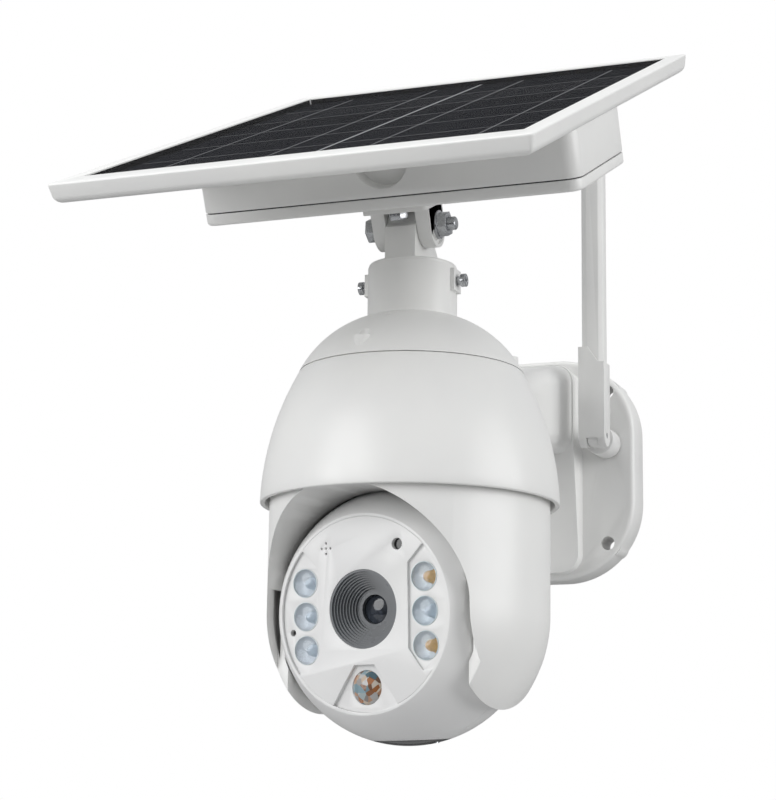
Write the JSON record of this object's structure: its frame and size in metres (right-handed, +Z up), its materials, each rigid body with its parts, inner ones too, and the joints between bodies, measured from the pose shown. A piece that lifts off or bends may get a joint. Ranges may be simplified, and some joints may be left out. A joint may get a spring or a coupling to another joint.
{
  "type": "solar-powered security camera",
  "caption": "Wall-mounted pan and tilt dome security camera with a tilting solar panel, battery box and folding paddle antenna.",
  "frame": {"origin": "centre of the wall plate's back face, midway between the four wall screw holes", "axes": "+Z up, -Y away from the wall towards the front of the camera, +X to the right of a person facing the wall"},
  "size_m": [0.2026, 0.3427, 0.3351],
  "materials": {
    "white_abs": "satin moulded white plastic",
    "white_face": "satin moulded white plastic",
    "black_plastic": "matte black moulded plastic",
    "dark_cover": "smoked glossy plastic",
    "stainless": "bright stainless steel",
    "zinc_steel": "zinc plated steel",
    "clear_lens": "clear moulded lens",
    "optical_glass": "coated optical glass",
    "pir_film": "milky infrared window",
    "panel_glass": "clear tempered glass",
    "silicon": "black silicon wafer",
    "black_sheet": "black backing sheet",
    "board_green": "solder-masked circuit board",
    "board_white": "white lamp board",
    "motor_can": "pressed steel can",
    "acetal": "natural acetal",
    "grey_rubber": "moulded silicone rubber",
    "cell_wrap": "shrink-wrapped cell",
    "brass_parts": "turned brass",
    "button_plastic": "moulded button",
    "antenna_plastic": "satin moulded white plastic"
  },
  "bodies": {
    "bracket_and_dome": {"wall_bracket": "white_abs", "dome_skirt": "white_abs", "dome_cap": "white_abs", "cap_screws": "stainless", "neck_set_screws": "stainless", "arm_screws": "zinc_steel", "base_plate": "white_abs", "pan_bearing": "acetal", "pan_motor": "motor_can", "power_board": "board_green", "antenna_socket": "brass_parts"},
    "pan_pinion": {"pan_pinion": "brass_parts"},
    "yoke": {"yoke_shell": "white_abs", "yoke_top_plate": "white_abs", "pan_hub": "acetal", "pan_gear": "acetal", "tilt_trunnions": "acetal", "tilt_gear": "acetal"},
    "camera_ball": {"front_ball_shell": "white_face", "rear_ball_shell": "white_face", "face_plate": "white_face", "lens_hood": "black_plastic", "lens_barrel": "black_plastic", "lens_elements": "optical_glass", "camera_board": "board_green", "led_boards": "board_white", "lamp_lenses": "clear_lens", "pir_lens": "pir_film", "pir_sensor": "motor_can", "microphone": "black_plastic", "light_sensor": "dark_cover", "main_board": "board_green", "loudspeaker": "black_plastic", "tilt_motor": "motor_can", "tilt_bushes": "acetal", "service_cover": "dark_cover", "service_bay": "black_plastic", "cover_seal": "grey_rubber", "cover_screws": "stainless", "service_board": "board_green"},
    "tilt_pinion": {"tilt_pinion": "brass_parts"},
    "reset_button": {"reset_button": "button_plastic"},
    "neck_adapter": {"neck_adapter": "white_abs"},
    "solar_panel": {"clevis": "white_abs", "clevis_bolts": "stainless", "hinge_nut_and_washers": "stainless", "hinge_bolt": "stainless", "box_lower_cover": "white_abs", "box_gasket": "grey_rubber", "box_upper": "white_abs", "box_screws": "stainless", "battery_cells": "cell_wrap", "charge_board": "board_green", "panel_tray": "white_abs", "panel_backsheet": "black_sheet", "solar_cells": "silicon", "panel_glass": "panel_glass"},
    "antenna_knob": {"antenna_knob": "antenna_plastic"},
    "antenna": {"antenna_mast": "antenna_plastic", "antenna_pin": "stainless"}
  },
  "joints": [
    {"name": "pan", "type": "hinge", "parent": "bracket_and_dome", "child": "yoke", "pos_m": [0, -0.196, 0], "axis": [0, 0, 1], "range_deg": [-164, 186]},
    {"name": "pan_pinion_spin", "type": "hinge", "parent": "bracket_and_dome", "child": "pan_pinion", "pos_m": [0.025, -0.196, -0.018], "axis": [0, 0, 1], "range_deg": [-750, 660]},
    {"name": "tilt", "type": "hinge", "parent": "yoke", "child": "camera_ball", "pos_m": [0, -0.196, -0.092], "axis": [0.9816, -0.1908, 0], "range_deg": [-24.5, 85.5]},
    {"name": "tilt_pinion_spin", "type": "hinge", "parent": "camera_ball", "child": "tilt_pinion", "pos_m": [0.03816, -0.18311, -0.09043], "axis": [0.9816, -0.1908, 0], "range_deg": [-75, 258]},
    {"name": "reset_press", "type": "slide", "parent": "camera_ball", "child": "reset_button", "axis": [-0.015, -0.077, 0.9969], "range_m": [0, 0.0004], "stiffness_N_per_m": 800},
    {"name": "panel_swivel", "type": "hinge", "parent": "bracket_and_dome", "child": "neck_adapter", "pos_m": [0, -0.196, 0.061], "axis": [0, 0, 1], "range_deg": [-90, 90]},
    {"name": "panel_tilt", "type": "hinge", "parent": "neck_adapter", "child": "solar_panel", "pos_m": [0, -0.2015, 0.0793], "axis": [1, 0, 0], "range_deg": [-25.7, 12.3]},
    {"name": "antenna_turn", "type": "hinge", "parent": "bracket_and_dome", "child": "antenna_knob", "pos_m": [0.04, -0.042, 0.0115], "axis": [0, 1, 0], "range_deg": [-5, 180]},
    {"name": "antenna_fold", "type": "hinge", "parent": "antenna_knob", "child": "antenna", "pos_m": [0.04, -0.042, 0.0115], "axis": [1, 0, 0], "range_deg": [0, 12]}
  ],
  "couplings": [
    {"joint": "pan_pinion_spin", "follows": "pan", "ratio": -4},
    {"joint": "tilt_pinion_spin", "follows": "tilt", "ratio": 3}
  ]
}
